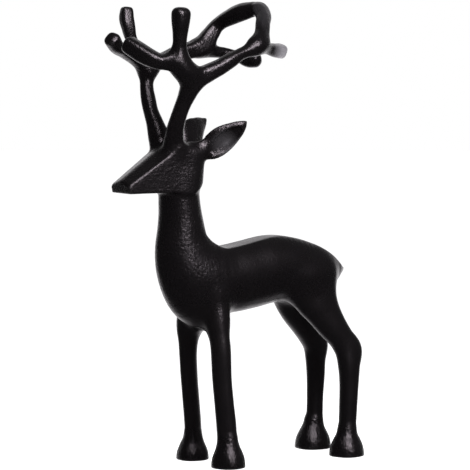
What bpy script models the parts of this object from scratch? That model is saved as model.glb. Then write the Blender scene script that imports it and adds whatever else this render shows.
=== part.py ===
"""Standing reindeer figure, cast in aluminium in one piece and coated black.

The animal faces -Y and stands on its four soles at z = 0, with +X its own left side.
Every limb is a sleeve swept along a few stations.  A station is written in millimetres as
(x, y, z, half width to the side, half width the other way), with y counted from the line
between the front feet.  The sleeves are run together into one skin, softened so that the
joints fill as they do in a casting, and the crisp muzzle and the ears are joined on after.
"""
import math

import bmesh
import bpy
from mathutils import Matrix, Vector

# Whole figure, millimetres
MM = 0.001
FRONT_FEET_Y = -25.2
SKIN_CELL = 2.0
TRIANGLES = 7000
BACKSET = 57.0

# Trunk, neck and tail, on the middle plane
TRUNK = [
    (0, -14, 166, 19.0, 24.0), (0, 0, 166, 26.0, 29.5), (0, 20, 167, 28.0, 29.0),
    (0, 40, 170, 28.0, 30.0), (0, 62, 173.5, 28.0, 30.8), (0, 80, 174, 27.5, 29.3),
    (0, 98, 172.3, 26.0, 25.7), (0, 112, 170, 23.0, 21.3), (0, 124, 168.5, 16.0, 15.0),
]
NECK = [
    (0, -17, 137, 11.0, 12.0), (0, -20.5, 148, 17.0, 18.8), (0, -25.5, 165, 20.5, 23.5),
    (0, -29, 182, 21.7, 25.2), (0, -30.5, 198, 21.5, 24.7), (0, -31.5, 211, 20.5, 22.2),
    (0, -32.6, 226, 19.2, 19.6), (0, -33.2, 242, 18.4, 18.6), (0, -33.2, 262, 17.6, 18.0),
]
WITHERS = [
    (0, -24, 206, 16.0, 12.5), (0, -12, 193, 19.0, 15.0), (0, 0, 182, 23.0, 17.0),
    (0, 14, 174, 25.0, 20.0),
]
TAIL = [
    (0, 108, 180, 15.0, 11.0), (0, 122, 177, 12.0, 10.5), (0, 134, 173.5, 8.5, 8.5),
    (0, 142, 171, 5.0, 5.0),
]

# Legs, written for the left side; a second row of pairs moves each one fore or aft:
# (shift at the foot, shift at the top) for the left and the right leg
FRONT_LEG = [
    (19, -2, 152, 12.0, 14.0), (23, -5.5, 128, 11.8, 11.5), (25.6, -6.7, 110, 10.0, 9.2),
    (27.6, -5, 78, 8.9, 7.5), (28.8, -3.2, 58, 8.9, 7.6), (29.7, -1, 36, 8.9, 7.8),
    (30.2, -0.2, 20, 9.2, 8.6),
]
HIND_LEG = [
    (15, 99, 165, 15.0, 24.0), (16.5, 103.5, 149, 15.0, 22.0), (19, 110.5, 135, 13.5, 18.4),
    (21.5, 120, 120, 12.0, 14.8), (24, 127.3, 109, 11.2, 13.0), (27, 133.6, 97, 11.0, 12.8),
    (28.5, 134.6, 84, 9.6, 10.3), (29, 134.6, 68, 8.8, 8.6), (29.3, 133.9, 48, 8.5, 7.9),
    (29.4, 133.2, 22, 8.8, 8.2),
]
BRISKET = [(-24, -4, 135, 12.0, 13.0), (0, -6, 134, 12.0, 13.5), (24, -4, 135, 12.0, 13.0)]
FRONT_SHIFT = {1: (-0.5, 0.8), -1: (0.3, -1.0)}
HIND_SHIFT = {1: (-1.5, 0.6), -1: (1.4, -1.2)}
FRONT_BAND = (75.0, 115.0)
HIND_BAND = (85.0, 105.0)

# Hooves: bells given as (share of the height, share of the sole radius)
BELL = [(1.0, 0.50), (0.8, 0.60), (0.6, 0.775), (0.35, 0.93), (0.1, 1.0), (-0.3, 1.0)]
FRONT_HOOF = {1: (30.5, -0.5, 25.0, 14.9), -1: (30.5, 0.3, 22.0, 14.4)}
HIND_HOOF = {1: (29.4, 130.5, 23.0, 15.6), -1: (29.4, 133.4, 24.0, 16.4)}

# Antlers, left and right.  They are a pair, but the casting is not a strict mirror image.
LEFT_ANTLER = {
    "beam": [(12, -42.5, 284, 9.5, 10.0), (18, -46.5, 300, 9.2, 9.2),
             (23.6, -47.2, 318, 7.4, 7.3), (28, -45, 331, 7.2, 7.0),
             (33, -45, 344, 7.4, 7.3), (36, -46, 355, 7.5, 7.5)],
    "gusset": [(33, -44, 337, 5.0, 5.0), (37.5, -37.5, 344.5, 6.2, 6.2),
               (41.5, -27, 352, 6.2, 6.2)],
    "front tine": [(36, -47.7, 356.5, 7.0, 7.0), (33, -61, 365, 6.3, 6.3),
                   (28, -72.8, 370, 6.2, 6.2), (22, -81.5, 374, 6.4, 6.4),
                   (17, -89.5, 379, 7.4, 7.4), (16, -92, 380.5, 7.4, 7.4)],
    "top tine": [(37, -51, 359, 7.5, 7.5), (39, -56, 374, 6.4, 6.4),
                 (41, -58, 386.5, 6.2, 6.2), (42, -58, 397, 7.5, 7.5),
                 (42.2, -58, 406, 8.1, 8.1)],
    "rear beam": [(36, -46, 355, 7.4, 7.4), (39, -37, 352.5, 8.4, 8.4),
                  (41.5, -26.5, 355, 7.5, 7.5), (43.5, -14.8, 359.5, 6.4, 6.4),
                  (44.2, -0.2, 367, 5.9, 5.9), (41, 17.7, 374.5, 6.8, 6.8),
                  (41, 24, 378, 7.4, 7.4)],
    "upper arm": [(41, 23, 377.5, 7.3, 7.3), (37, 31, 387, 6.8, 6.8),
                  (30, 37, 397.5, 6.4, 6.4), (19, 44.5, 407.5, 7.4, 7.4),
                  (9, 46.2, 410.3, 7.3, 7.3), (-1, 45.8, 410.2, 7.2, 7.2)],
    "low tine": [(41, 24, 378, 6.2, 6.2), (34, 39.6, 375.3, 4.8, 4.8),
                 (24, 56, 373.8, 6.0, 6.0), (21, 61, 373, 6.0, 6.0)],
}
RIGHT_ANTLER = {
    "beam": [(-12, -44.5, 286, 9.5, 10.0), (-19.5, -45, 304, 8.8, 8.8),
             (-24, -47, 319, 7.1, 7.1), (-28, -47.5, 329.5, 6.7, 6.7),
             (-33, -46.5, 342, 6.4, 6.4), (-36, -44.5, 352.5, 7.5, 7.5)],
    "front tine": [(-36, -45.4, 356, 7.2, 7.2), (-32, -58.5, 363.5, 6.3, 6.3),
                   (-26, -72.6, 371, 6.0, 6.0), (-20, -86, 379.3, 6.4, 6.4),
                   (-16, -93, 385, 6.6, 6.6)],
    "top tine": [(-37, -45, 359.5, 6.5, 6.5), (-39, -52, 370.5, 6.2, 6.2),
                 (-41, -56, 381, 5.8, 5.8), (-42.5, -59, 390, 5.8, 5.8),
                 (-43.5, -60.8, 401, 6.7, 6.7), (-43.7, -61.2, 407.5, 6.4, 6.4)],
    "rear beam": [(-36, -43.5, 356, 7.2, 7.2), (-40.5, -21.3, 363.5, 6.8, 6.8),
                  (-42.6, 1.4, 371.8, 7.2, 7.2), (-41.2, 17, 374, 7.5, 7.5)],
    "upper arm": [(-41.2, 13.6, 375.3, 7.5, 7.5), (-40.6, 26.6, 387.8, 6.6, 6.6),
                  (-35, 36.8, 399.6, 6.6, 6.6), (-22, 43.2, 407.4, 7.1, 7.1),
                  (-10, 45.4, 410.2, 7.4, 7.4), (1, 45.6, 410.2, 7.4, 7.4)],
    "low tine": [(-41.2, 17, 373, 6.8, 6.8), (-39.5, 38.6, 371.5, 5.2, 5.2),
                 (-32, 51, 367, 5.2, 5.2), (-24, 58.5, 363.5, 6.1, 6.1),
                 (-20.5, 63, 363, 5.9, 5.9)],
}

# Head: corners of the left half of a faceted wedge
HEAD_CORNERS = [
    (15.0, -94.6, 256.6), (9.6, -94.0, 248.4), (19.6, -52.0, 285.6), (15.5, -46.0, 248.2),
    (19.0, -40.0, 249.0), (21.5, -34.0, 264.0), (20.5, -32.0, 283.0), (14.0, -24.0, 291.0),
    (17.0, -21.0, 250.5), (19.5, -20.0, 262.0), (18.5, -17.0, 276.0), (10.0, -12.5, 251.5),
    (11.0, -10.0, 266.0), (10.0, -11.5, 283.0), (8.0, -16.0, 290.0),
]

# Ears: leaves with a hollow carved on the outer side
EAR = [
    (12, -19, 279, 6.0, 4.2), (17.5, -10, 288, 11.5, 4.2), (22.5, -2, 295.3, 12.5, 4.0),
    (27.5, 7, 302.5, 9.2, 3.5), (32, 14.3, 309, 4.3, 2.0), (33, 16.6, 311.2, 1.8, 1.3),
]
RIGHT_EAR_FULLER = {3: 2.0, 4: 2.4}
EAR_HOLLOW = [
    (18, -10.5, 286.5, 5.0, 2.4), (22.5, -3.5, 293, 9.0, 3.6), (27, 4.0, 300, 8.0, 3.4),
    (31, 11.0, 306, 3.0, 1.6),
]
EAR_SIDE = (0.0, -0.62, 1.0)
EAR_HOLLOW_OUT = (3.4, -2.4, -0.6)

RING = 20
STEPS = 4


def empty_the_scene():
    """Start from nothing, so that only the figure is in the file."""
    for thing in list(bpy.data.objects):
        bpy.data.objects.remove(thing, do_unlink=True)


def new_object(name, mesh):
    """Put a mesh in the scene as a named object at the origin."""
    thing = bpy.data.objects.new(name, mesh)
    bpy.context.scene.collection.objects.link(thing)
    return thing


def mirrored(stations, side):
    """The same stations on the left (side 1) or the right (side -1)."""
    return [(side * x, y, z, a, b) for x, y, z, a, b in stations]


def shifted(stations, foot_and_top, band):
    """Move stations fore or aft by an amount that changes with height across the band."""
    foot, top = foot_and_top
    low, high = band
    moved = []
    for x, y, z, a, b in stations:
        share = min(max((z - low) / (high - low), 0.0), 1.0)
        moved.append((x, y + foot + (top - foot) * share, z, a, b))
    return moved


def eased(stations):
    """A smooth run through the stations: cubic pieces with the slopes of the chords."""
    rows = [Vector(row) for row in stations]
    count = len(rows)
    at = [0.0]
    for one, two in zip(rows, rows[1:]):
        at.append(at[-1] + (two.xyz - one.xyz).length)
    slopes = []
    for i in range(count):
        if i == 0:
            slopes.append((rows[1] - rows[0]) / (at[1] - at[0]))
        elif i == count - 1:
            slopes.append((rows[-1] - rows[-2]) / (at[-1] - at[-2]))
        else:
            before = at[i] - at[i - 1]
            after = at[i + 1] - at[i]
            left = (rows[i] - rows[i - 1]) / before
            right = (rows[i + 1] - rows[i]) / after
            slopes.append((left * after + right * before) / (before + after))
    run = []
    for i in range(count - 1):
        span = at[i + 1] - at[i]
        for step in range(STEPS):
            u = step / STEPS
            run.append(
                rows[i] * (2 * u ** 3 - 3 * u ** 2 + 1)
                + slopes[i] * (span * (u ** 3 - 2 * u ** 2 + u))
                + rows[i + 1] * (3 * u ** 2 - 2 * u ** 3)
                + slopes[i + 1] * (span * (u ** 3 - u ** 2))
            )
    run.append(rows[-1])
    return run


def sleeve(body, stations, side=(1.0, 0.0, 0.0), blunt_end=False):
    """Sweep an oval along the stations and close it with a dome or a flat at each end."""
    run = eased(stations)
    centres = [row.xyz for row in run]
    halves = [(max(row[3], 0.4), max(row[4], 0.4)) for row in run]
    side = Vector(side)
    rings = []

    def ring(centre, along, a, b):
        across = (side - along * side.dot(along)).normalized()
        other = along.cross(across)
        verts = []
        for k in range(RING):
            turn = 2 * math.pi * k / RING
            point = centre + across * (a * math.cos(turn)) + other * (b * math.sin(turn))
            point.y += FRONT_FEET_Y
            verts.append(body.verts.new(point * MM))
        rings.append(verts)

    def dome(centre, along, sign, a, b, order):
        reach = min(a, b)
        for degrees in order:
            lift = math.sin(math.radians(degrees)) * reach * sign
            ring(centre + along * lift, along, a * math.cos(math.radians(degrees)),
                 b * math.cos(math.radians(degrees)))

    last = len(centres) - 1
    for i, centre in enumerate(centres):
        along = (centres[min(i + 1, last)] - centres[max(i - 1, 0)]).normalized()
        a, b = halves[i]
        if i == 0:
            dome(centre, along, -1.0, a, b, (80, 55, 30))
        ring(centre, along, a, b)
        if i == last and not blunt_end:
            dome(centre, along, 1.0, a, b, (30, 55, 80))
    for one, two in zip(rings, rings[1:]):
        for k in range(RING):
            n = (k + 1) % RING
            body.faces.new((one[k], one[n], two[n], two[k]))
    body.faces.new(list(reversed(rings[0])))
    body.faces.new(rings[-1])


def bell(body, hoof, side):
    """One hoof: a bell that flares down to the sole and runs a little below the floor."""
    x, y, height, radius = hoof
    rows = [(side * x, y, up * height, out * radius, out * radius) for up, out in BELL]
    sleeve(body, rows, blunt_end=True)


def soft_figure():
    """Trunk, neck, legs and antlers as overlapping closed sleeves in one mesh."""
    body = bmesh.new()
    sleeve(body, TRUNK)
    sleeve(body, NECK)
    sleeve(body, WITHERS)
    sleeve(body, TAIL)
    sleeve(body, BRISKET, (0.0, 1.0, 0.0))
    for side, antler in ((1, LEFT_ANTLER), (-1, RIGHT_ANTLER)):
        turned = (
            side * math.cos(math.radians(BACKSET)),
            math.sin(math.radians(BACKSET)),
            0.0,
        )
        front = shifted(mirrored(FRONT_LEG, side), FRONT_SHIFT[side], FRONT_BAND)
        sleeve(body, front, turned)
        sleeve(body, shifted(mirrored(HIND_LEG, side), HIND_SHIFT[side], HIND_BAND))
        bell(body, FRONT_HOOF[side], side)
        bell(body, HIND_HOOF[side], side)
        for stations in antler.values():
            sleeve(body, stations)
    bmesh.ops.recalc_face_normals(body, faces=body.faces)
    mesh = bpy.data.meshes.new("sleeves")
    body.to_mesh(mesh)
    body.free()
    return new_object("sleeves", mesh)


def settled(thing, name):
    """Replace an object by a plain one that holds what its modifiers make."""
    graph = bpy.context.evaluated_depsgraph_get()
    mesh = bpy.data.meshes.new_from_object(thing.evaluated_get(graph))
    mesh.name = name
    bpy.data.objects.remove(thing, do_unlink=True)
    return new_object(name, mesh)


def run_together(thing):
    """One closed skin over all the sleeves, softened more on the trunk than on the limbs."""
    skin = thing.modifiers.new("skin", "REMESH")
    skin.mode = "VOXEL"
    skin.voxel_size = SKIN_CELL * MM
    skin.adaptivity = 0.0
    thing = settled(thing, "skin")
    body = bmesh.new()
    body.from_mesh(thing.data)
    trunk = [v for v in body.verts if 112 * MM < v.co.z < 238 * MM]
    shoulder = [v for v in body.verts if 96 * MM < v.co.z < 205 * MM]
    for group, passes in ((body.verts[:], 5), (trunk, 20), (shoulder, 8)):
        for _ in range(passes):
            bmesh.ops.smooth_vert(
                body, verts=group, factor=0.5, use_axis_x=True, use_axis_y=True, use_axis_z=True
            )
    body.normal_update()
    for v in body.verts:
        v.co += v.normal * (0.4 * MM)
    body.to_mesh(thing.data)
    body.free()
    thin = thing.modifiers.new("thin", "DECIMATE")
    thin.decimate_type = "COLLAPSE"
    thin.ratio = TRIANGLES / (2.0 * len(thing.data.vertices))
    return settled(thing, "skin")


def wedge_head():
    """The head as the tightest faceted body round its corners, left and right."""
    body = bmesh.new()
    for x, y, z in HEAD_CORNERS:
        for side in (1, -1):
            body.verts.new(Vector((side * x, y + FRONT_FEET_Y, z)) * MM)
    made = bmesh.ops.convex_hull(body, input=body.verts)
    spare = [v for v in body.verts if not v.link_faces]
    bmesh.ops.delete(body, geom=spare, context="VERTS")
    edges = [e for e in body.edges if e.calc_face_angle(0.0) > math.radians(12)]
    bmesh.ops.bevel(
        body, geom=edges, offset=0.9 * MM, offset_type="OFFSET", segments=1, profile=0.5,
        affect="EDGES", clamp_overlap=True
    )
    bmesh.ops.triangulate(body, faces=body.faces)
    bmesh.ops.recalc_face_normals(body, faces=body.faces)
    mesh = bpy.data.meshes.new("head")
    body.to_mesh(mesh)
    body.free()
    return new_object("head", mesh)


def closed_sleeve(name, stations, side):
    """A single sleeve as an object of its own."""
    body = bmesh.new()
    sleeve(body, stations, side)
    bmesh.ops.recalc_face_normals(body, faces=body.faces)
    mesh = bpy.data.meshes.new(name)
    body.to_mesh(mesh)
    body.free()
    return new_object(name, mesh)


def combine(thing, other, operation, name):
    """Join a second closed body to the first, or cut it away, and settle the result."""
    step = thing.modifiers.new(name, "BOOLEAN")
    step.operation = operation
    step.solver = "EXACT"
    step.object = other
    thing = settled(thing, name)
    bpy.data.objects.remove(other, do_unlink=True)
    return thing


def ear(side):
    """A leaf-shaped ear, hollowed on its outer side."""
    out = Vector(EAR_HOLLOW_OUT)
    rows = [list(row) for row in EAR]
    if side < 0:
        for at, more in RIGHT_EAR_FULLER.items():
            rows[at][3] += more
    leaf = closed_sleeve("leaf", mirrored(rows, side), EAR_SIDE)
    rows = [(x + out.x, y + out.y, z + out.z, a, b) for x, y, z, a, b in EAR_HOLLOW]
    hollow = closed_sleeve("hollow", mirrored(rows, side), EAR_SIDE)
    return combine(leaf, hollow, "DIFFERENCE", "ear")


def stand_flat(thing):
    """Cut the hooves level with the floor and close the soles."""
    body = bmesh.new()
    body.from_mesh(thing.data)
    everything = body.verts[:] + body.edges[:] + body.faces[:]
    bmesh.ops.bisect_plane(
        body, geom=everything, dist=0.00001, plane_co=(0, 0, 0), plane_no=(0, 0, 1),
        clear_inner=True
    )
    rim = [e for e in body.edges if e.is_boundary]
    bmesh.ops.holes_fill(body, edges=rim, sides=0)
    bmesh.ops.remove_doubles(body, verts=body.verts, dist=0.00005)
    bmesh.ops.dissolve_degenerate(body, edges=body.edges, dist=0.00005)
    bmesh.ops.triangulate(body, faces=body.faces)
    bmesh.ops.recalc_face_normals(body, faces=body.faces)
    body.to_mesh(thing.data)
    body.free()


def black_coat():
    """Satin black coating over the casting."""
    coat = bpy.data.materials.new("black_coat")
    coat.use_nodes = True
    shader = coat.node_tree.nodes["Principled BSDF"]
    shader.inputs["Base Color"].default_value = (0.010, 0.009, 0.010, 1.0)
    shader.inputs["Metallic"].default_value = 0.0
    shader.inputs["Roughness"].default_value = 0.40
    return coat


def build():
    """Make the figure and leave it as the one object in the scene."""
    empty_the_scene()
    figure = run_together(soft_figure())
    figure = combine(figure, wedge_head(), "UNION", "figure")
    for side in (1, -1):
        figure = combine(figure, ear(side), "UNION", "figure")
    stand_flat(figure)
    figure.name = "reindeer"
    figure.data.name = "reindeer"
    figure.data.materials.clear()
    figure.data.materials.append(black_coat())
    for face in figure.data.polygons:
        face.use_smooth = True
    corners = [v.co for v in figure.data.vertices]
    for axis in range(3):
        values = [c[axis] for c in corners]
        print("axis", axis, round(min(values) / MM, 2), round(max(values) / MM, 2))
    print("triangles", len(figure.data.polygons))


build()
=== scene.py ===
# %% [markdown]
# # A standing reindeer, cast in aluminium and coated black
#
# The real figure is about 42 cm tall and stands on four bell-shaped hooves.  It was cast in one
# piece, filed smooth at the seams, and given a thin satin black coat.  So there is one piece to
# make here, and nearly all of its character is in the outline, in the soft way the limbs run
# into the body, and in how a black skin catches a white room.

# %%
import math

import bpy
import numpy as np
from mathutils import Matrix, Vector


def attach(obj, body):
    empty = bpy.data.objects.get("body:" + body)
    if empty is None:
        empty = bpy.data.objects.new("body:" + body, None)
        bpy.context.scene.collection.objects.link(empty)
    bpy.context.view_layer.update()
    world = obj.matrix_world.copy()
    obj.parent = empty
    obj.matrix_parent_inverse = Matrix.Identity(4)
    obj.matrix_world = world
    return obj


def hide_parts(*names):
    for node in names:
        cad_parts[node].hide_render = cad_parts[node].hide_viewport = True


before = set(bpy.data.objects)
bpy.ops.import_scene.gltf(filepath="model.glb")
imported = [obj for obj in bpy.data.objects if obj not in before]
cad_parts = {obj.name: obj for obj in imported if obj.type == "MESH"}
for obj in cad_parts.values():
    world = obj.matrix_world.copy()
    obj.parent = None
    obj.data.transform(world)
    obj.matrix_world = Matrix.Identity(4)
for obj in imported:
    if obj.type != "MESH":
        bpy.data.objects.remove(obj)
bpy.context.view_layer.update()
print("the frame's nodes:", sorted(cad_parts))

# %% [markdown]
# ## The size of things
#
# Everything below is written in millimetres, because that is how a maker would measure it, and
# turned into metres once, when the mesh is made.  Heights start at the floor.  Fore and aft is
# counted from the line between the front feet, which lies 25.2 mm in front of the middle of the
# figure.  The animal looks along -Y and +X is its left side.

# %%
MM = 0.001
FRONT_FEET_Y = -25.2
CELL = 1.0
MOST_TRIANGLES = 186_000
print("grid cell", CELL, "mm")

# %% [markdown]
# ## Camera
#
# The photograph looks at the animal's left side from ahead: 57 degrees round from its nose and
# a little under 5 degrees above the floor.  The lens is long and the camera far away, so the
# antlers hardly spread.  The camera aims a touch to the right of the figure and a little above
# its middle, which puts it where the photograph has it without any lens shift.

# %%
VIEW_ROUND = math.radians(57.0)
VIEW_ABOVE = math.radians(4.8354)
VIEW_DISTANCE = 3.0
LENS = 254.95
SENSOR = 36.0
MIDDLE_HEIGHT = 0.2
AIM_RIGHT, AIM_UP = 0.02235, 0.00763

to_camera = Vector((
    math.sin(VIEW_ROUND) * math.cos(VIEW_ABOVE),
    -math.cos(VIEW_ROUND) * math.cos(VIEW_ABOVE),
    math.sin(VIEW_ABOVE),
))
to_right = Vector((math.cos(VIEW_ROUND), math.sin(VIEW_ROUND), 0.0))
to_top = to_camera.cross(to_right)
middle = Vector((0.0, FRONT_FEET_Y * MM, MIDDLE_HEIGHT))
eye = middle + to_camera * VIEW_DISTANCE
aim = middle + to_right * AIM_RIGHT + to_top * AIM_UP

camera = bpy.data.objects.new("camera", bpy.data.cameras.new("camera"))
bpy.context.scene.collection.objects.link(camera)
camera.location = eye
camera.rotation_euler = (aim - eye).to_track_quat("-Z", "Y").to_euler()
camera.data.lens = LENS
camera.data.sensor_width = SENSOR
bpy.context.scene.camera = camera
print("camera at", [round(c, 3) for c in eye])

# %% [markdown]
# ## Why a distance field
#
# The figure could be made of tubes with the joints sculpted by hand, or of a coarse cage under a
# subdivision surface.  Both struggle where five limbs meet in one soft web.  A cast figure is
# closer to clay: rolled limbs are pressed on, and the joints are filled with a thumb.  A
# *distance field* works the same way.  The space round the figure is cut into small cells, and
# every cell holds its distance to the skin, negative inside.  Limbs are joined by taking the
# smaller distance, and a fillet is a formula that rounds that choice off.

# %%
BLOCK_LOW = (-57.0, -103.0, -4.0)
BLOCK_HIGH = (57.0, 157.0, 425.0)
FAR = np.float32(30.0)

axes = [
    np.arange(low, high + CELL, CELL, dtype=np.float32)
    for low, high in zip(BLOCK_LOW, BLOCK_HIGH)
]
field = np.full([len(a) for a in axes], FAR, np.float32)
print("cells:", field.shape, "=", round(field.size / 1e6, 1), "million")


def inside_box(low, high):
    """The part of the block that holds a box: three slices, and its open x, y and z rows."""
    cut = []
    for axis, a, b in zip(axes, low, high):
        first = int(np.clip(np.searchsorted(axis, a) - 1, 0, len(axis) - 2))
        last = int(np.clip(np.searchsorted(axis, b) + 1, first + 2, len(axis)))
        cut.append(slice(first, last))
    x = axes[0][cut[0]][:, None, None]
    y = axes[1][cut[1]][None, :, None]
    z = axes[2][cut[2]][None, None, :]
    return tuple(cut), x, y, z


def blended(a, b, width):
    """The smaller of two distances, less a little where they are nearly equal.

    With gap = |a - b|, the amount taken off is (1 - gap/width) squared times width/4, and
    nothing where the gap is wider than width.  That is a fillet about as wide as width.
    """
    if width <= 0:
        return np.minimum(a, b)
    near = np.maximum(width - np.abs(a - b), 0) / width
    return np.minimum(a, b) - near * near * (0.25 * width)


def trimmed(a, b, width):
    """What is left of shape a inside shape b, with the new edge rounded over width."""
    return -blended(-a, -b, width)


def plane(point, normal, cut):
    """Distance above a flat through a point: the dot product with its unit normal."""
    normal = np.asarray(normal, float) / np.linalg.norm(normal)
    x, y, z = (axis[part] for axis, part in zip(axes, cut))
    return (
        (x[:, None, None] - point[0]) * normal[0]
        + (y[None, :, None] - point[1]) * normal[1]
        + (z[None, None, :] - point[2]) * normal[2]
    ).astype(np.float32)


# %% [markdown]
# ## A limb is an oval carried along a path
#
# Each limb is given by a few *stations*: a point on its middle line, and the two half widths of
# the limb there.  Cubic pieces run smoothly through the stations.  Then the distance to the limb
# is worked out for the cells round it: find the nearest place on the path, measure the two
# offsets across it, divide each by its half width, and compare with one.  Only cells within a
# limb's *reach* are worked out, and that has to be wider than the fillet that joins it on.

# %%
def eased(stations, steps):
    """A smooth run through the stations.

    Each piece is a cubic that starts and ends with the slopes of the neighbouring chords,
    weighted by their lengths: p(2u^3 - 3u^2 + 1) + m(u^3 - 2u^2 + u) + q(3u^2 - 2u^3)
    + n(u^3 - u^2), with p and q the two stations and m and n the slopes there.
    """
    rows = np.asarray(stations, float)
    gap = np.linalg.norm(np.diff(rows[:, :3], axis=0), axis=1)[:, None]
    chord = np.diff(rows, axis=0) / gap
    slope = np.empty_like(rows)
    slope[0], slope[-1] = chord[0], chord[-1]
    slope[1:-1] = (chord[:-1] * gap[1:] + chord[1:] * gap[:-1]) / (gap[1:] + gap[:-1])
    u = (np.arange(steps) / steps)[None, :, None]
    p, q = rows[:-1, None], rows[1:, None]
    m, n = slope[:-1, None] * gap[:, None], slope[1:, None] * gap[:, None]
    run = (
        p * (2 * u ** 3 - 3 * u ** 2 + 1) + m * (u ** 3 - 2 * u ** 2 + u)
        + q * (3 * u ** 2 - 2 * u ** 3) + n * (u ** 3 - u ** 2)
    )
    return np.vstack([run.reshape(-1, rows.shape[1]), rows[-1:]])


def limb(stations, side=(1, 0, 0), reach=12.0, ends=(1.0, 1.0), square=2.0, steps=6,
         twist=(0, 0)):
    """Distances to an oval limb, with the slices of the block that they fill.

    Across the path a point has offsets u and v, and w past an end.  With half widths a, b, c
    the size k is the n-th root of |u/a|^n + |v/b|^n + |w/c|^n, where n is 2 for an oval and
    more for one with flatter sides.  The distance is (k - 1) divided by the slope of k.
    Twist turns the section about the path, in degrees, evenly from start to end.
    """
    run = eased(stations, steps)
    centre, half = run[:, :3], np.maximum(run[:, 3:5], 0.3)
    along = np.gradient(centre, axis=0)
    along /= np.linalg.norm(along, axis=1)[:, None]
    side = np.asarray(side, float)
    across = side - (along @ side)[:, None] * along
    across /= np.linalg.norm(across, axis=1)[:, None]
    other = np.cross(along, across)
    turn = np.radians(np.linspace(*twist, len(centre)))[:, None]
    across, other = (
        across * np.cos(turn) + other * np.sin(turn),
        other * np.cos(turn) - across * np.sin(turn),
    )
    fat = half.max() + reach
    cut, _, _, _ = inside_box((centre - fat).min(0), (centre + fat).max(0))
    out = np.full([part.stop - part.start for part in cut], FAR, np.float32)
    last = len(centre) - 2
    n = square
    for i in range(last + 1):
        p, q = centre[i], centre[i + 1]
        r = max(half[i].max(), half[i + 1].max()) + reach
        box, x, y, z = inside_box(np.minimum(p, q) - r, np.maximum(p, q) + r)

        def dot(vector, start):
            v = vector.astype(np.float32)
            return (x - start[0]) * v[0] + (y - start[1]) * v[1] + (z - start[2]) * v[2]

        step = q - p
        length = math.sqrt(step @ step)
        t = dot(step / length ** 2, p)
        s = np.clip(t, 0, 1)
        u = dot(across[i], p) * (1 - s) + dot(across[i + 1], q) * s
        v = dot(other[i], p) * (1 - s) + dot(other[i + 1], q) * s
        a = half[i, 0] + (half[i + 1, 0] - half[i, 0]) * s
        b = half[i, 1] + (half[i + 1, 1] - half[i, 1]) * s
        w = (t - s) * length
        small = np.minimum(a, b)
        blunt = np.where(w < 0, ends[0] if i == 0 else 1.0, ends[1] if i == last else 1.0)
        c = small * blunt
        u, v, w = np.abs(u / a), np.abs(v / b), np.abs(w / c)
        k = (u ** n + v ** n + w ** n + 1e-9) ** (1 / n)
        steep = np.sqrt(
            (u ** (n - 1) / a) ** 2 + (v ** (n - 1) / b) ** 2 + (w ** (n - 1) / c) ** 2
        ) * k ** (1 - n)
        d = np.where(k < 0.3, -0.7 * small, (k - 1) / np.maximum(steep, 0.5 / small))
        here = tuple(slice(m.start - o.start, m.stop - o.start) for m, o in zip(box, cut))
        out[here] = np.minimum(out[here], d)
    return cut, out


def press_on(clay, part, width):
    """Join a limb to the clay with a fillet."""
    cut, distance = part
    clay[cut] = blended(clay[cut], distance, width)


# %% [markdown]
# ## Trunk and neck
#
# The trunk is a long barrel with its back planed off: a flat about 2 cm wide runs from the
# shoulders and tapers away on the rump, and its crisp near edge is one of the few hard lines on
# the body.  So the trunk is given as a row of heights, for the back and the belly, with the
# width of that flat.  If a barrel of half width a is to be w half wide at the planed height, its
# half height b follows from back - belly = b (1 + root(1 - (w/a)^2)).

# %%
# y, height of the back, height of the belly, half width of the flat, half width of the body
BARREL = [
    (-14, 192, 142, 0, 19),
    (0, 196.5, 136.3, 8, 26),
    (20, 197.2, 136.4, 12, 28),
    (40, 200.2, 138.8, 11.5, 28),
    (62, 204.4, 142.6, 9, 28),
    (80, 203.6, 145, 6.8, 27.5),
    (98, 199, 146.8, 4.5, 26),
    (112, 193.8, 148.9, 2.5, 23),
    (124, 186.6, 153.5, 0, 16),
]
NECK = [
    (0, -15.4, 137, 11, 11),
    (0, -19.6, 148, 17, 17.5),
    (0, -25.3, 165, 20.5, 22.8),
    (0, -29.3, 182, 21.7, 25.3),
    (0, -30.5, 198, 21.5, 25),
    (0, -30.9, 211, 20.5, 22.5),
    (0, -32, 226, 19.2, 19.9),
    (0, -33.2, 242, 18.4, 18.6),
    (0, -33.2, 262, 17.6, 18),
]
TAIL = [
    (0, 108, 180, 15, 10),
    (0, 122, 177, 11.5, 9.5),
    (0, 134, 173.5, 7.5, 7),
    (0, 141.5, 171, 4, 4),
]
BRISKET = [
    (-18, -3.5, 134.5, 8, 12.5),
    (0, -4.5, 133.5, 8, 12.8),
    (18, -3.5, 134.5, 8, 12.5),
]
NECK_FILLET, TAIL_FILLET, BRISKET_FILLET = 26, 10, 6
BODY_REACH = 26

trunk = []
for y, back, belly, flat, wide in BARREL:
    b = (back - belly) / (1 + math.sqrt(1 - (flat / wide) ** 2))
    trunk.append((0, y, belly + b, wide, b))

press_on(field, limb(trunk, reach=BODY_REACH, steps=4), 0)
press_on(field, limb(NECK, reach=BODY_REACH, steps=4), NECK_FILLET)
press_on(field, limb(TAIL), TAIL_FILLET)
press_on(field, limb(BRISKET, (0, 1, 0)), BRISKET_FILLET)
print("trunk half heights:", [round(row[4], 1) for row in trunk])
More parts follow.
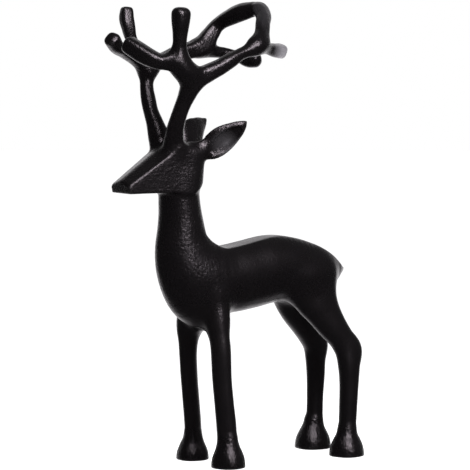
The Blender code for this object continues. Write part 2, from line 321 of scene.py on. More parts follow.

# %% [markdown]
# ## Legs
#
# All four legs are straight, slim and a little flattened, and the front legs have their long axis
# turned out towards the corners of the figure.  The hind leg swells to a thigh and bends once at the
# hock.
# The feet of a hand-finished casting are never quite square to each other, so each leg has
# stations of its own.

# %%
LEFT_FRONT_LEG = [
    (15, -2.3, 152.1, 7, 11),
    (20.9, -5.5, 127.9, 9.2, 9.8),
    (24.2, -4.8, 109.9, 9.2, 9.7),
    (27.6, -5.2, 78, 8.8, 7.4),
    (28.8, -3.8, 58, 8.8, 7.5),
    (29.5, -1.8, 36, 9, 7.9),
    (29.9, -1.2, 20, 8.6, 8),
]
RIGHT_FRONT_LEG = [
    (-14.5, -3, 152, 9.5, 12),
    (-23, -7, 128, 11.8, 12),
    (-25.2, -7.5, 110, 8.8, 8.8),
    (-27.7, -5, 78, 8.7, 7.3),
    (-28.6, -2.7, 58, 8.6, 7.3),
    (-29.4, -0.2, 36, 8.4, 7.3),
    (-29.4, 0.6, 20.1, 7.9, 7.2),
]
LEFT_HIND_LEG = [
    (14.1, 99.1, 163.6, 13.2, 23.2),
    (15.5, 103.4, 148.3, 14.2, 21.7),
    (19.9, 109.6, 134.5, 11.7, 17),
    (22.8, 118.8, 119.7, 11, 13.8),
    (25.1, 126.7, 109, 9.9, 12.1),
    (27.2, 133.8, 97.3, 9.8, 13),
    (28.7, 133.4, 84, 9.5, 10.2),
    (29.1, 133.2, 68, 8.9, 8.7),
    (29.2, 132.3, 48, 8.6, 8),
    (29.1, 131.2, 24, 8.2, 7.6),
]
RIGHT_HIND_LEG = [
    (-15.1, 98.6, 164, 14.7, 24.7),
    (-17.1, 102.4, 148.7, 13.9, 21.4),
    (-19.1, 109.7, 134.9, 13.6, 18.9),
    (-21.5, 118.8, 120, 12, 14.8),
    (-23.9, 126.7, 109.1, 11, 12.8),
    (-26.6, 134.4, 97.2, 10.2, 11.8),
    (-28.7, 135.8, 84, 8.8, 9.5),
    (-28.9, 136.1, 68, 8.4, 8.2),
    (-29.1, 135.6, 48, 7.9, 7.3),
    (-28.9, 134.9, 24, 7.9, 7.3),
]
FRONT_FILLET, FRONT_SQUARENESS = 12, 2.3
HIND_FILLET, HIND_SQUARENESS = 14, 2.2


def turned_out(side):
    """The direction of a leg's long axis: 57 degrees round from the side, left or right."""
    return side * math.cos(VIEW_ROUND), math.sin(VIEW_ROUND), 0.0


for leg, side in ((LEFT_FRONT_LEG, 1), (RIGHT_FRONT_LEG, -1)):
    part = limb(leg, turned_out(side), reach=FRONT_FILLET + 1, square=FRONT_SQUARENESS)
    press_on(field, part, FRONT_FILLET)
for leg in (LEFT_HIND_LEG, RIGHT_HIND_LEG):
    press_on(field, limb(leg, reach=HIND_FILLET + 1, square=HIND_SQUARENESS), HIND_FILLET)
print("the legs meet the trunk at", LEFT_FRONT_LEG[0][2], "and", LEFT_HIND_LEG[0][2], "mm")

# %% [markdown]
# ## Planing the back
#
# The planed flat is a sheet whose height changes along the animal: low at the saddle, highest
# over the loins, and down again to the tail.  Heights between the named ones are averaged over
# 9 mm each way, so that the sheet has no kinks.  It is crowned by a third of a millimetre, as
# hand filing leaves it.

# %%
BACK = [
    (-30, 230),
    (-8, 204),
    (8, 195.9),
    (22, 197.3),
    (35.5, 199.6),
    (60, 204.2),
    (72, 204.8),
    (88, 201.9),
    (98, 199),
    (110, 194.6),
    (119, 189.8),
    (129, 182.8),
    (138, 175.2),
    (143, 171.5),
]
PLANED_FROM = 150.0
AVERAGED_OVER = 9
CROWN, CROWN_AT = 0.35, 22
PLANED_EDGE = 0.9


def planed_back(width):
    """Distance above the sheet: the height over it, divided by the length of its slope."""
    run = axes[1]
    spread = np.hanning(2 * int(AVERAGED_OVER / CELL) + 3)
    spread /= spread.sum()
    rough = np.interp(run, *zip(*BACK))
    top = np.convolve(np.pad(rough, len(spread) // 2, mode="edge"), spread, mode="valid")
    slope = np.gradient(top, run)
    cut, x, _, z = inside_box((-57, -12, PLANED_FROM), (57, 150, 230))
    part = cut[1]
    lean = np.sqrt(1 + slope[part] ** 2)[None, :, None]
    sheet = (z - top[part][None, :, None]) / lean + CROWN * (x / CROWN_AT) ** 2
    field[cut] = trimmed(field[cut], sheet.astype(np.float32), width)
    return float(top.max())


print("highest point of the back:", round(planed_back(PLANED_EDGE), 1), "mm")

# %% [markdown]
# ## Hooves
#
# A hoof is a bell: a round profile that flares from the shank down to a flat sole.  The profile
# is given in shares of its own height and radius, and each hoof has its own size.  It is filed a
# little square, and one soft ridge of the square runs down its front.

# %%
BELL = [(1, 0.5), (0.8, 0.58), (0.6, 0.7), (0.35, 0.86), (0.12, 0.98), (-0.05, 1)]
HOOF_SQUARENESS, HOOF_TWIST = 2.35, (38, 38)
HOOF_REACH, HOOF_FILLET = 10, 4
# how far the sole's end bulges, where 1 would be half a ball
SOLE_BLUNT = 0.01
# x, y, height, radius of the sole
HOOVES = [
    (30.5, -0.5, 25, 14.9),
    (-30.5, 0.3, 22, 14.4),
    (29.4, 130.5, 23, 15.6),
    (-29.4, 133.4, 24, 16.4),
]

for x, y, tall, radius in HOOVES:
    profile = [(x, y, up * tall, out * radius, out * radius) for up, out in BELL]
    bell = limb(profile, turned_out(1 if x > 0 else -1), reach=HOOF_REACH,
                ends=(1, SOLE_BLUNT), square=HOOF_SQUARENESS, twist=HOOF_TWIST)
    press_on(field, bell, HOOF_FILLET)
print("soles are about", [round(2 * hoof[3]) for hoof in HOOVES], "mm across")

# %% [markdown]
# ## Head
#
# The head is the one place with real planes.  The maker sawed a wedge: a blunt nose, a flat
# jaw, two cheeks that lean in a little, and a muzzle top like a low roof whose two slopes meet
# the cheeks in a sharp ridge.  Starting from the half space behind the nose, each plane takes
# off one slice, and the right cheek is cut a little fuller than the left.  Each has its own
# edge radius: one to two millimetres on the ridges that are still crisp, and more behind the
# jaw and over the crown, where the file went round.

# %%
CHEEK_LEANS = (0.9961, -0.072, -0.0503)
FAR_CHEEK_LEANS = (-0.9961, -0.072, -0.0503)
CHEEK_AT = (14.7, -94, 256)
# the blunt end of the nose: a point on it and the way it faces
NOSE = ((0, -94, 252), (0, -1, -0.12))
HEAD_FILLET = 6
# a point on the plane, the way it faces, the rounding of its edge, and if it has a twin
HEAD_PLANES = [
    ((0, 0, 248.6), (0, 0, -1), 1.1, False),
    ((0, -94, 260.9), (0.26, -0.569, 0.824), 2.2, True),
    (CHEEK_AT, CHEEK_LEANS, 1.6, False),
    ((-17.0, -94, 256), FAR_CHEEK_LEANS, 1.1, False),
    ((18.9, -17.9, 262), (0.55, 1, -0.14), 12, True),
    ((0, -20, 249.5), (0, 0.7, -1), 5, False),
    ((0, -12, 262), (0, 1, 0), 6, False),
    ((0, -36, 292), (0, 0.3, 1), 8, False),
]

head_room, _, _, _ = inside_box((-40, -101, 238), (40, 10, 306))
head = plane(*NOSE, head_room)
for point, facing, edge, twin in HEAD_PLANES:
    for side in (1, -1) if twin else (1,):
        on = (side * point[0], point[1], point[2])
        head = trimmed(head, plane(on, (side * facing[0], facing[1], facing[2]), head_room), edge)
field[head_room] = blended(field[head_room], head, HEAD_FILLET)
print("head cut with", 1 + sum(2 if row[3] else 1 for row in HEAD_PLANES), "planes")

# %% [markdown]
# ## Antlers
#
# Each antler is one long rod that leaves the crown as a beam, bends back at the fork, and then
# turns up and over to meet the other antler's rod in the middle, so that the two of them make a
# tilted ring, with a fine seam where they meet.  A front tine and an upright stand on the fork,
# and a low tine points back from the turn.  A rod that runs on through its fork keeps the
# underside of the bend smooth, which rods that end there would not.  A web wider than the
# reach of its rod would leave a crease, so the reach grows with the web.  The sections are
# rounded squares: some turn a flat to the left and ahead, some an edge, and the edge shows as a
# soft ridge along the tine.  The two antlers are not mirror images, and each rod has its own
# stations.

# %%
LEFT_ANTLER = {
    "beam": [
        (8.5, -44.8, 287.9, 10, 10),
        (17.2, -47.7, 306.1, 7.6, 7.6),
        (23.2, -46, 322.2, 6.9, 6.9),
        (27.3, -43.6, 332.7, 7.2, 7.2),
        (31.4, -41, 342.5, 8.4, 8.4),
        (34.2, -34.1, 350.3, 8.2, 8.2),
        (36.7, -25.8, 355.1, 7.6, 7.6),
        (38.9, -15.1, 360.1, 6.8, 6.8),
        (40.7, -5.2, 365.8, 6.3, 6.3),
        (42, 4.2, 371.1, 5, 5),
        (42.4, 15.4, 375.5, 5.5, 5.5),
        (40.7, 25.1, 381.1, 6.9, 6.9),
        (35.1, 32.5, 389.6, 6.1, 6.1),
        (28.8, 37.6, 397.5, 6, 6),
        (20.3, 44, 404.2, 6.3, 6.3),
        (10.4, 46.8, 409.9, 6.4, 6.4),
        (0, 46.3, 410.2, 6.3, 6.3),
    ],
    "up": [
        (37.6, -51.6, 361.7, 5.4, 5.4),
        (38.5, -56.4, 375.8, 5.7, 5.7),
        (39.9, -57.5, 384.6, 5.7, 5.7),
        (40.9, -57.6, 393.4, 6.4, 6.4),
        (41.9, -57.9, 401.3, 7.4, 7.4),
        (42.1, -57.7, 406.7, 7.9, 7.9),
    ],
    "front": [
        (35.4, -50, 356, 5, 5),
        (34.8, -63.2, 364.4, 6.7, 6.7),
        (31, -72.8, 365.7, 6.6, 6.6),
        (26.9, -80.7, 369.2, 7.5, 7.5),
        (19.8, -86.2, 374, 8, 8),
        (11.6, -90.9, 379.4, 7.7, 7.7),
    ],
    "low": [
        (41, 23.1, 377.6, 4.6, 4.6),
        (34, 38.5, 375.6, 4.8, 4.8),
        (27, 51.4, 373.6, 5.9, 5.9),
        (21, 61.2, 372.9, 6.5, 6.5),
    ],
}
RIGHT_ANTLER = {
    "beam": [
        (-13, -44.5, 292.7, 10, 10),
        (-18, -47.7, 310, 7.2, 7.2),
        (-24.1, -48, 320.5, 6.4, 6.4),
        (-28.1, -47.7, 329.4, 6.4, 6.4),
        (-31.6, -47.1, 338.2, 5.9, 5.9),
        (-34.9, -45.1, 347.1, 5.8, 5.8),
        (-37.1, -40.7, 356, 6.3, 6.3),
    ],
    "rear": [
        (-36.9, -41.3, 360.7, 5.9, 5.9),
        (-38.4, -23.5, 366, 6, 6),
        (-39.9, -6.4, 371.2, 6.9, 6.9),
        (-39.4, 8.2, 374.1, 7.5, 7.5),
        (-39.6, 18.2, 378.3, 8.2, 8.2),
        (-38.6, 25.2, 386.7, 7, 7),
        (-36.5, 30.6, 394.4, 6.1, 6.1),
        (-31.1, 33.7, 399, 6.2, 6.2),
        (-23.7, 36.2, 402.5, 6.8, 6.8),
        (-12, 40, 406.9, 7.6, 7.6),
        (0.4, 45.1, 410, 6.3, 6.3),
    ],
    "front": [
        (-35.8, -45, 355.7, 5.2, 5.2),
        (-31.8, -60.1, 366, 5, 5),
        (-25.3, -75.7, 373.6, 5.5, 5.5),
        (-20, -86.6, 378.6, 6.2, 6.2),
        (-16.9, -91.8, 383.6, 6.7, 6.7),
    ],
    "up": [
        (-36.6, -44, 358.3, 4.3, 4.3),
        (-39, -52, 372.2, 4.8, 4.8),
        (-41.2, -58.6, 386.5, 4.9, 4.9),
        (-42.1, -60.1, 394.7, 5.6, 5.6),
        (-43.7, -61, 402.7, 6, 6),
        (-44.3, -60.5, 408.5, 5.2, 5.2),
    ],
    "low": [
        (-40.8, 15.5, 373.4, 7, 7),
        (-39.3, 27.5, 371.6, 5.7, 5.7),
        (-37.5, 41.5, 369.8, 5, 5),
        (-31, 52.5, 366.1, 5.2, 5.2),
        (-25.5, 58.7, 363.6, 6.8, 6.8),
        (-22, 62.5, 364.3, 7.7, 7.7),
    ],
}
# which rod, web in its fork, squareness, twist at its start and end, roundness of its tip
LEFT_JOINTS = [
    ("beam", 0, 2.9, (0, 60), 0.3),
    ("up", 19, 2.8, (38, 38), 0.8),
    ("front", 14, 2.9, (-22, -22), 0.8),
    ("low", 11, 3, (24, 24), 0.8),
]
RIGHT_JOINTS = [
    ("beam", 0, 2.4, (45, 45), 1),
    ("rear", 9, 3.6, (20, 20), 0.3),
    ("front", 9, 3, (30, 30), 0.8),
    ("up", 9, 3.6, (26, 26), 0.7),
    ("low", 7, 2.3, (0, 0), 0.8),
]
FLAT_TURNED = (0.836, -0.543, 0.084)
ROD_REACH = 12
SEAM_FILLET = 0.8
ROOT_FILLET = 6


def antler(rods, joints):
    """Distances to one antler: the rods pressed together in turn, each with its own web."""
    clay = np.full_like(field, FAR)
    for name, web, square, twist, tip in joints:
        rod = limb(rods[name], FLAT_TURNED, reach=max(ROD_REACH, web + 1), ends=(1, tip),
                   square=square, twist=twist)
        press_on(clay, rod, web)
    return clay


antler_room, _, _, _ = inside_box((-57, -103, 262), (57, 100, 425))
left = antler(LEFT_ANTLER, LEFT_JOINTS)[antler_room]
right = antler(RIGHT_ANTLER, RIGHT_JOINTS)[antler_room]
field[antler_room] = blended(
    field[antler_room], blended(left, right, SEAM_FILLET), ROOT_FILLET)
print("antler rods:", list(LEFT_ANTLER), list(RIGHT_ANTLER))

# %% [markdown]
# ## Ears
#
# An ear is a thick leaf that stands out behind the antler, with a shallow hollow pressed into
# the side that faces out and ahead.  The leaf is a flat oval, and the hollow is a thinner leaf
# of the same kind taken away from it.

# %%
LEFT_EAR = [
    (10.5, -28.3, 287.1, 6, 5.2),
    (14, -19.4, 286.5, 7.6, 4.6),
    (17.5, -10, 288, 11.8, 4),
    (22.7, -2, 294.9, 12.7, 4),
    (27.7, 7, 301.9, 9.4, 3.6),
    (32, 14, 308, 4.5, 2.2),
    (33, 16.6, 310.4, 1.5, 1.2),
]
RIGHT_EAR = [
    (-13, -18, 280, 6, 4),
    (-17.5, -10.5, 289, 12, 4),
    (-22.7, -3.5, 298.5, 14.5, 4),
    (-27.7, 5, 304, 9.5, 3.5),
    (-32, 13, 307.8, 4.8, 2.2),
    (-33, 16.4, 310.3, 1.6, 1.2),
]
EAR_HOLLOW = [
    (19.2, -10.8, 284.3, 5, 2.6),
    (23.7, -3.8, 290.8, 8.2, 3.6),
    (28.2, 3.7, 297.8, 7.4, 3.2),
    (32.2, 10.7, 303.8, 3, 1.6),
]
HOLLOW_RIM = 0.7
EAR_REACH, EAR_FILLET = 8, 5
DIP_OUT, DIP_WIDTH, DIP_THICK = -4.9, 0.66, 2.6
LEFT_EAR_LIES = (0, -0.62, 1)
RIGHT_EAR_LIES = (-0.08, -0.4, 0.9)


def shallow_dip(leaf):
    """The leaf's own middle stations at two thirds of its width, moved out of its far face."""
    out = DIP_OUT * np.array(FLAT_TURNED)
    return [(*(np.array(row[:3]) + out), DIP_WIDTH * row[3], DIP_THICK) for row in leaf[1:-1]]


for leaf, hollow, lies in (
    (LEFT_EAR, EAR_HOLLOW, LEFT_EAR_LIES),
    (RIGHT_EAR, shallow_dip(RIGHT_EAR), RIGHT_EAR_LIES),
):
    press_on(field, limb(leaf, lies, reach=EAR_REACH), EAR_FILLET)
    cut, taken = limb(hollow, lies, reach=EAR_REACH)
    field[cut] = trimmed(field[cut], -taken, HOLLOW_RIM)
print("ears", len(LEFT_EAR), "and", len(RIGHT_EAR), "stations")

# %% [markdown]
# ## Soles and cast skin
#
# The soles are ground flat, so that the figure stands without rocking.  Everywhere else the skin
# keeps the slow waviness of a sand casting that was filed and coated by hand.  It is less than a
# tenth of a millimetre deep and some millimetres long, and three times as deep on the hooves.
# That is too slow for a bump map to do well, because it must also show along the outline of a
# highlight.  So it goes into the field: a coarse lattice of random heights is stretched over the
# block with smooth weights, and added.

# %%
WAVE_LENGTHS = (11.0, 5.0)
WAVE_DEPTHS = (0.05, 0.05)
# the waves' extra depth on the hooves, as a share, the height where it ends, and its fade
HOOF_WAVES, WAVES_TOP, WAVES_FADE = 2.0, 30, 8
SOLE_EDGE = 1.2


def smooth_weights(axis, spacing):
    """How much each lattice point counts along one axis: the cubic B-spline, as a matrix."""
    u = (axis[:, None] - axis[0]) / spacing - np.arange(-1, int(np.ptp(axis) / spacing) + 3)
    u = np.abs(u)
    near = 2 / 3 - u ** 2 + u ** 3 / 2
    outer = (2 - u) ** 3 / 6
    return np.where(u < 1, near, np.where(u < 2, outer, 0)).astype(np.float32)


def waves(spacing, seed):
    """Random heights on a lattice, spread over the block: three weight matrices in turn."""
    weights = [smooth_weights(axis, spacing) for axis in axes]
    heights = np.random.default_rng(seed).standard_normal([w.shape[1] for w in weights])
    wide = np.tensordot(weights[0], heights.astype(np.float32), (1, 0))
    wide = np.tensordot(wide, weights[1], (1, 1))
    return np.tensordot(wide, weights[2], (1, 1))


near_the_floor = np.clip((WAVES_TOP - axes[2]) / WAVES_FADE, 0, 1)
for seed, (spacing, depth) in enumerate(zip(WAVE_LENGTHS, WAVE_DEPTHS)):
    field += depth * (1 + HOOF_WAVES * near_the_floor) * waves(spacing, seed)
field = trimmed(field, np.broadcast_to(-axes[2], field.shape), SOLE_EDGE).astype(np.float32)
print("waviness", WAVE_DEPTHS, "mm deep")

# %% [markdown]
# ## From the field to a skin
#
# Where the distance changes sign there is skin.  Every cell that the skin crosses gets one
# vertex, at the mean of the points where the skin cuts the cell's edges, and every edge that it
# cuts gets one square between the four cells round it.  The result has no open edge and even
# squares, and follows a sharp edge to a fraction of a cell.  Its one weakness is a cell side
# whose corners are by turns inside and outside: four squares meet on one edge there.  Three
# such edges, the longest 0.16 mm, are left at the ears and at the tip of a tine.

# %%
def skin_of(distance):
    """Vertices in millimetres and four-cornered faces of the surface where distance is nought.

    On a cut edge from a to b the crossing is at a / (a - b) of the way.  A cell's vertex is the
    sum of its crossings divided by their number.
    """
    solid = distance < 0
    near = np.array(distance.shape) - 1
    mixed = np.zeros(near, np.int8)
    for corner in np.ndindex(2, 2, 2):
        mixed += solid[tuple(slice(c, c + n) for c, n in zip(corner, near))]
    cells = np.argwhere((mixed > 0) & (mixed < 8))
    number = np.full(near, -1, np.int32)
    number[tuple(cells.T)] = np.arange(len(cells), dtype=np.int32)
    total, count = np.zeros((len(cells), 3)), np.zeros(len(cells))
    for axis in range(3):
        for p, q in np.ndindex(2, 2):
            start = np.insert([p, q], axis, 0)
            finish = np.insert([p, q], axis, 1)
            a, b = (distance[tuple((cells + corner).T)] for corner in (start, finish))
            crossed = (a < 0) != (b < 0)
            at = np.broadcast_to(start, (len(cells), 3)).astype(float)
            at[:, axis] = a / np.where(crossed, a - b, 1)
            total += at * crossed[:, None]
            count += crossed
    low = np.array([axis[0] for axis in axes])
    points = low + CELL * (cells + total / count[:, None])
    faces = []
    for axis in range(3):
        first, second = (2, 0) if axis == 1 else [k for k in range(3) if k != axis]
        u, v = np.eye(3, dtype=int)[first], np.eye(3, dtype=int)[second]
        ahead = [slice(1, n) if k == axis else slice(n) for k, n in enumerate(near + 1)]
        behind = [slice(n - 1) if k == axis else slice(n) for k, n in enumerate(near + 1)]
        edge = np.argwhere(solid[tuple(behind)] != solid[tuple(ahead)])
        round_it = [number[tuple((edge - step).T)] for step in (u + v, v, 0 * u, u)]
        face = np.stack(round_it, 1)
        faces.append(np.where(solid[tuple(edge.T)][:, None], face, face[:, ::-1]))
    return points, np.concatenate(faces)


points, faces = skin_of(field)
print(len(points), "vertices,", 2 * len(faces), "triangles at", CELL, "mm")

# %% [markdown]
# ## Into Blender, and thinner where it is flat
#
# The long flanks need far fewer triangles than the ridges of the head.  A Decimate modifier
# merges edges where the surface is nearly flat and leaves the creases dense.  It is applied
# here, so that the piece ends as a plain mesh with its place in its vertices.

# %%
def mesh_of(name, points, faces):
    """A mesh of four-cornered faces, filled straight from the arrays, in metres."""
    mesh = bpy.data.meshes.new(name)
    mesh.vertices.add(len(points))
    mesh.vertices.foreach_set("co", (points * MM).astype(np.float32).ravel())
    mesh.loops.add(faces.size)
    mesh.loops.foreach_set("vertex_index", faces.ravel().astype(np.int32))
    mesh.polygons.add(len(faces))
    mesh.polygons.foreach_set("loop_start", np.arange(0, faces.size, 4, dtype=np.int32))
    mesh.update(calc_edges=True)
    mesh.validate()
    return mesh


points[:, 1] += FRONT_FEET_Y
deer = bpy.data.objects.new("reindeer_casting", mesh_of("reindeer_casting", points, faces))
bpy.context.scene.collection.objects.link(deer)

thin = deer.modifiers.new("thin the flats", "DECIMATE")
thin.ratio = min(1.0, MOST_TRIANGLES / (2 * len(faces)))
ready = deer.evaluated_get(bpy.context.evaluated_depsgraph_get())
skin = bpy.data.meshes.new_from_object(ready)
deer.modifiers.clear()
raw, deer.data = deer.data, skin
bpy.data.meshes.remove(raw)
skin.name = "reindeer_casting"
skin.shade_smooth()
print("after thinning:", len(skin.vertices), "vertices,", len(skin.loop_triangles), "triangles")

# %% [markdown]
# ## Where the ridges and a few patches get painted highlights, and where dust would lie
#
# Six numbers are kept on every vertex for the material.
#
# - *ridge* and *hollow* say how sharply the skin bends outwards or inwards there.  The sum of
#   the second differences of the distance field, averaged over a few cells first, is the bend in
#   parts per millimetre, and both are scaled to lie between 0 and 1.
# - *fore_and_aft* says which way the file went: along the animal on the trunk and the head, and
#   up and down on the neck and the legs.
# - *painted_highlight* says where a lighter grey is painted in as a painted reflection: at the tip
#   of the left low tine, at the left end of the ring, and in the ear, brightest along its rim.
# - *coarse* is full on the neck and the antlers, less on the trunk and the legs, and more on the
#   hooves and the filed left cheek.
# - *duller* is added to the roughness: more on the left cheek and the legs, less on the hooves.

# %%
def averaged(values, times):
    """Each cell becomes a quarter, a half and a quarter of three neighbours, along each axis."""
    for _ in range(times):
        for axis in range(3):
            values = (np.roll(values, 1, axis) + 2 * values + np.roll(values, -1, axis)) / 4
    return values


def read_at(grid, where):
    """The grid's values at points between its cells, weighted by nearness on each axis."""
    place = (where - np.array([axis[0] for axis in axes])) / CELL
    base = np.clip(place.astype(int), 0, np.array(grid.shape) - 2)
    share = place - base
    value = np.zeros(len(where))
    for corner in np.ndindex(2, 2, 2):
        weight = np.prod(np.where(corner, share, 1 - share), axis=1)
        value += weight * grid[tuple((base + corner).T)]
    return value


# the bend at which a ridge or a hollow begins, and over how much more it becomes full
RIDGE_BEND, RIDGE_RANGE = 0.28, 0.5
HOLLOW_BEND, HOLLOW_RANGE = 0.02, 0.2
# how much lighter grey is painted in as painted highlight: on the low tine's tip, the ring's left end,
# the ear, and more on the ear's rim
LOW_TIP_GREY, ARM_END_GREY, EAR_GREY, EAR_RIM_GREY = 0.8, 0.10, 0.10, 0.5
EAR_MIDDLE = (25, -1, 291)

soft = averaged(field, 2)
bend = sum(np.roll(soft, 1, a) + np.roll(soft, -1, a) - 2 * soft for a in range(3)) / CELL ** 2
where = np.empty(len(skin.vertices) * 3, np.float32)
skin.vertices.foreach_get("co", where)
where = where.reshape(-1, 3) / MM - (0, FRONT_FEET_Y, 0)
bend = read_at(bend, where)
across, aft, up = where.T
ridge = np.clip((bend - RIDGE_BEND) / RIDGE_RANGE, 0, 1)
hollow = np.clip((-bend - HOLLOW_BEND) / HOLLOW_RANGE, 0, 1)


def between(values, low, high, fade):
    """1 between two limits and 0 outside, with straight slopes of the given width."""
    return np.clip((values - low) / fade, 0, 1) * np.clip((high - values) / fade, 0, 1)


on_trunk = between(aft, -8, 160, 14) * between(up, 134, 240, 8)
on_head = between(aft, -110, -14, 6) * between(up, 244, 296, 6)
along = np.maximum(on_trunk, on_head)
# painted highlight: lighter grey painted where reflections fall on the low tine's tip, the ring's left
# end and the ear's hollow and rim
low_tip = LOW_TIP_GREY * (across > 5) * between(aft, 44, 90, 14) * between(up, 355, 384, 3)
to_the_right = 0.5446 * across + 0.8387 * aft
arm_end = between(to_the_right, 38.6, 90, 0.8) * between(aft, 28, 90, 4) * between(up, 388, 440, 22)
in_ear = np.clip(1.6 - np.linalg.norm(where - EAR_MIDDLE, axis=1) / 9, 0, 1)
ear_grey = in_ear * (EAR_GREY + EAR_RIM_GREY * ridge)
painted_highlight = np.maximum(np.maximum(low_tip, ARM_END_GREY * arm_end), ear_grey)
hoof = 1 - np.clip((up - 24) / 10, 0, 1)
above_cheek = (where - CHEEK_AT) @ np.array(CHEEK_LEANS)
cheek = on_head * np.clip((above_cheek + 2.5) / 1.5, 0, 1)
on_legs = np.clip((150 - up) / 20, 0, 1)
coarse = 1 - 0.6 * np.maximum(on_trunk, on_legs) + 1.3 * hoof + 0.3 * cheek
duller = 0.07 * cheek + 0.05 * on_legs * (1 - hoof) - 0.03 * hoof
for name, value in (("ridge", ridge), ("hollow", hollow), ("fore_and_aft", along),
                    ("painted_highlight", painted_highlight), ("coarse", coarse), ("duller", duller)):
    skin.attributes.new(name, "FLOAT", "POINT").data.foreach_set("value", value.astype(np.float32))
    print(name, "covers", round(100 * float((value > 0.3).mean()), 1), "% of the vertices")

# %% [markdown]
# ## The coat
#
# The finish is a thin black coat sprayed on cast metal: satin, neither matt nor glossy.  Four
# effects lie on it, each in a node group of its own.  *Cast grain* is the fine orange peel of
# the coat over the grain of the sand.  *File marks* are long shallow strokes that the coat did
# not quite fill.  *Painted sheen* makes the ridges a little smoother and paints them greyer, a
# painted highlight along the edges.  *Dust* settles in hollows and on top, and dulls them.

# %%
def new_group(name, inputs, outputs):
    """A shader node group with named float inputs (name: default) and outputs."""
    group = bpy.data.node_groups.new(name, "ShaderNodeTree")
    for label, value in inputs.items():
        socket = group.interface.new_socket(label, in_out="INPUT", socket_type="NodeSocketFloat")
        socket.default_value = value
    for label in outputs:
        group.interface.new_socket(label, in_out="OUTPUT", socket_type="NodeSocketFloat")
    return group, group.nodes.new("NodeGroupInput"), group.nodes.new("NodeGroupOutput")


def put(tree, kind, settings=None, **links):
    """Add a node, set its properties, and fill its inputs with numbers or other sockets."""
    node = tree.nodes.new(kind)
    for key, value in (settings or {}).items():
        setattr(node, key, value)
    for key, value in links.items():
        socket = node.inputs[int(key[1:])] if key[1:].isdigit() else node.inputs[key.replace("_", " ")]
        if isinstance(value, bpy.types.NodeSocket):
            tree.links.new(value, socket)
        else:
            socket.default_value = value
    return node


def maths(tree, what, a, b=0.0, c=0.0):
    """One Math node, and its result."""
    return put(tree, "ShaderNodeMath", {"operation": what}, i0=a, i1=b, i2=c).outputs[0]


grain, grain_in, grain_out = new_group(
    "cast grain", {"Size": 0.0034, "Peel": 1.0, "Sand": 0.35}, ("Height", "Mottle"))
spot = put(grain, "ShaderNodeTexCoord").outputs["Object"]
often = maths(grain, "DIVIDE", 1.0, grain_in.outputs["Size"])
peel = put(grain, "ShaderNodeTexNoise", Vector=spot, Scale=often, Detail=1.5, Roughness=0.45)
sand = put(grain, "ShaderNodeTexNoise", Vector=spot, Scale=maths(grain, "MULTIPLY", often, 3.7),
           Detail=2.0, Roughness=0.6)
patch = put(grain, "ShaderNodeTexNoise", Vector=spot, Scale=maths(grain, "MULTIPLY", often, 0.17),
            Detail=3.0, Roughness=0.6)
height = maths(grain, "MULTIPLY_ADD", peel.outputs[0], grain_in.outputs["Peel"],
               maths(grain, "MULTIPLY", sand.outputs[0], grain_in.outputs["Sand"]))
grain.links.new(height, grain_out.inputs["Height"])
grain.links.new(patch.outputs[0], grain_out.inputs["Mottle"])

marks, marks_in, marks_out = new_group("file marks", {"Fineness": 620.0}, ("Height",))
spot = put(marks, "ShaderNodeTexCoord").outputs["Object"]
strokes = []
for stretch in ((1, 1, 0.2), (1, 0.2, 1)):
    drawn = put(marks, "ShaderNodeVectorMath", {"operation": "MULTIPLY"}, i0=spot, i1=stretch)
    strokes.append(put(marks, "ShaderNodeTexNoise", Vector=drawn.outputs[0], Detail=2.0,
                       Scale=marks_in.outputs["Fineness"], Roughness=0.5).outputs[0])
run = put(marks, "ShaderNodeAttribute", {"attribute_name": "fore_and_aft"}).outputs["Fac"]
change = maths(marks, "SUBTRACT", strokes[1], strokes[0])
marks.links.new(maths(marks, "MULTIPLY_ADD", change, run, strokes[0]), marks_out.inputs["Height"])

# painted highlight along the ridges: a patchy ridge mask that greys their colour and also makes them
# smoother
painted_sheen, painted_sheen_in, painted_sheen_out = new_group("rubbed ridge", {"Amount": 1.0, "Patchy": 0.6}, ("Mask",))
edge = put(painted_sheen, "ShaderNodeAttribute", {"attribute_name": "ridge"}).outputs["Fac"]
spot = put(painted_sheen, "ShaderNodeTexCoord").outputs["Object"]
breaks = put(painted_sheen, "ShaderNodeTexNoise", Vector=spot, Scale=180.0, Detail=3.0).outputs[0]
kept = maths(painted_sheen, "SUBTRACT", 1.0, maths(painted_sheen, "MULTIPLY", breaks, painted_sheen_in.outputs["Patchy"]))
mask = maths(painted_sheen, "MULTIPLY", maths(painted_sheen, "MULTIPLY", edge, kept), painted_sheen_in.outputs["Amount"])
painted_sheen.links.new(mask, painted_sheen_out.inputs["Mask"])

dust, dust_in, dust_out = new_group("dust", {"Amount": 1.0}, ("Mask",))
pit = put(dust, "ShaderNodeAttribute", {"attribute_name": "hollow"}).outputs["Fac"]
facing = put(dust, "ShaderNodeSeparateXYZ", Vector=put(dust, "ShaderNodeNewGeometry").outputs["Normal"])
lying = put(dust, "ShaderNodeMapRange", {"interpolation_type": "SMOOTHSTEP"},
            Value=facing.outputs["Z"], From_Min=0.2, From_Max=1.0)
spot = put(dust, "ShaderNodeTexCoord").outputs["Object"]
drift = put(dust, "ShaderNodeTexNoise", Vector=spot, Scale=90.0, Detail=4.0, Roughness=0.65).outputs[0]
settled = maths(dust, "MULTIPLY_ADD", lying.outputs[0], 0.35, maths(dust, "MULTIPLY", pit, 0.5))
settled = maths(dust, "MULTIPLY", maths(dust, "MULTIPLY", settled, drift), dust_in.outputs["Amount"])
dust.links.new(settled, dust_out.inputs["Mask"])
print("groups:", [group.name for group in bpy.data.node_groups])

